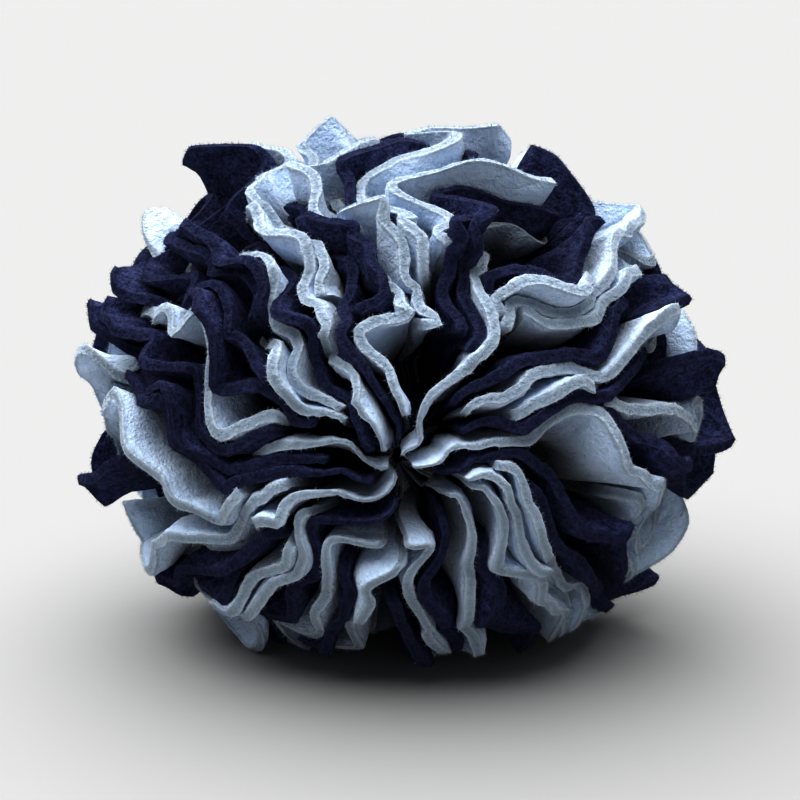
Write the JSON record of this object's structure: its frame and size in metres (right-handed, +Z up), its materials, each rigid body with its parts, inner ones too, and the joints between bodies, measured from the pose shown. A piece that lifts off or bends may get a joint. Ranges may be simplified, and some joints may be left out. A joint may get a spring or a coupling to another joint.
{
  "type": "snuffle ball",
  "caption": "Dog snuffle ball: squares of polar fleece in two blues, drawn together on one tie into a round ruffled tuft with gaps for hiding treats.",
  "frame": {"origin": "on the ground, under the middle of the box the ball fills", "axes": "+Z up; Y is the ball's axis, along which the squares are tied, with the front pole at -Y; X is sideways, where the ball is widest"},
  "size_m": [0.1594, 0.1106, 0.128],
  "materials": {
    "pale_fleece": "soft matte polar fleece, light blue, with a short nap",
    "navy_fleece": "soft matte polar fleece, navy, lightly pilled"
  },
  "bodies": {
    "root": {"pale_square_01": "pale_fleece", "navy_square_02": "navy_fleece", "pale_square_03": "pale_fleece", "pale_square_04": "pale_fleece", "navy_square_05": "navy_fleece", "navy_square_06": "navy_fleece", "pale_square_07": "pale_fleece", "pale_square_08": "pale_fleece", "navy_square_09": "navy_fleece", "pale_square_10": "pale_fleece", "pale_square_11": "pale_fleece", "navy_square_12": "navy_fleece", "navy_square_13": "navy_fleece", "pale_square_14": "pale_fleece", "navy_square_15": "navy_fleece", "pale_square_16": "pale_fleece", "navy_square_17": "navy_fleece", "navy_square_18": "navy_fleece", "navy_square_19": "navy_fleece", "pale_square_20": "pale_fleece", "navy_square_21": "navy_fleece", "pale_square_22": "pale_fleece", "navy_square_23": "navy_fleece", "navy_square_24": "navy_fleece", "pale_square_25": "pale_fleece", "pale_square_26": "pale_fleece", "navy_square_27": "navy_fleece", "navy_square_28": "navy_fleece", "pale_square_29": "pale_fleece", "pale_square_30": "pale_fleece", "pale_square_31": "pale_fleece", "navy_square_32": "navy_fleece", "pale_square_33": "pale_fleece", "navy_square_34": "navy_fleece", "pale_square_35": "pale_fleece", "navy_square_36": "navy_fleece", "navy_square_37": "navy_fleece", "pale_square_38": "pale_fleece", "navy_square_39": "navy_fleece", "navy_square_40": "navy_fleece", "pale_square_41": "pale_fleece", "pale_square_42": "pale_fleece", "pale_square_43": "pale_fleece", "navy_square_44": "navy_fleece", "navy_square_45": "navy_fleece", "pale_square_46": "pale_fleece", "navy_square_47": "navy_fleece", "pale_square_48": "pale_fleece", "navy_square_49": "navy_fleece", "navy_square_50": "navy_fleece", "pale_square_51": "pale_fleece", "pale_square_52": "pale_fleece", "navy_square_53": "navy_fleece", "navy_square_54": "navy_fleece", "pale_square_55": "pale_fleece", "pale_square_56": "pale_fleece", "navy_square_57": "navy_fleece", "pale_square_58": "pale_fleece", "pale_square_59": "pale_fleece", "navy_square_60": "navy_fleece"}
  },
  "joints": []
}
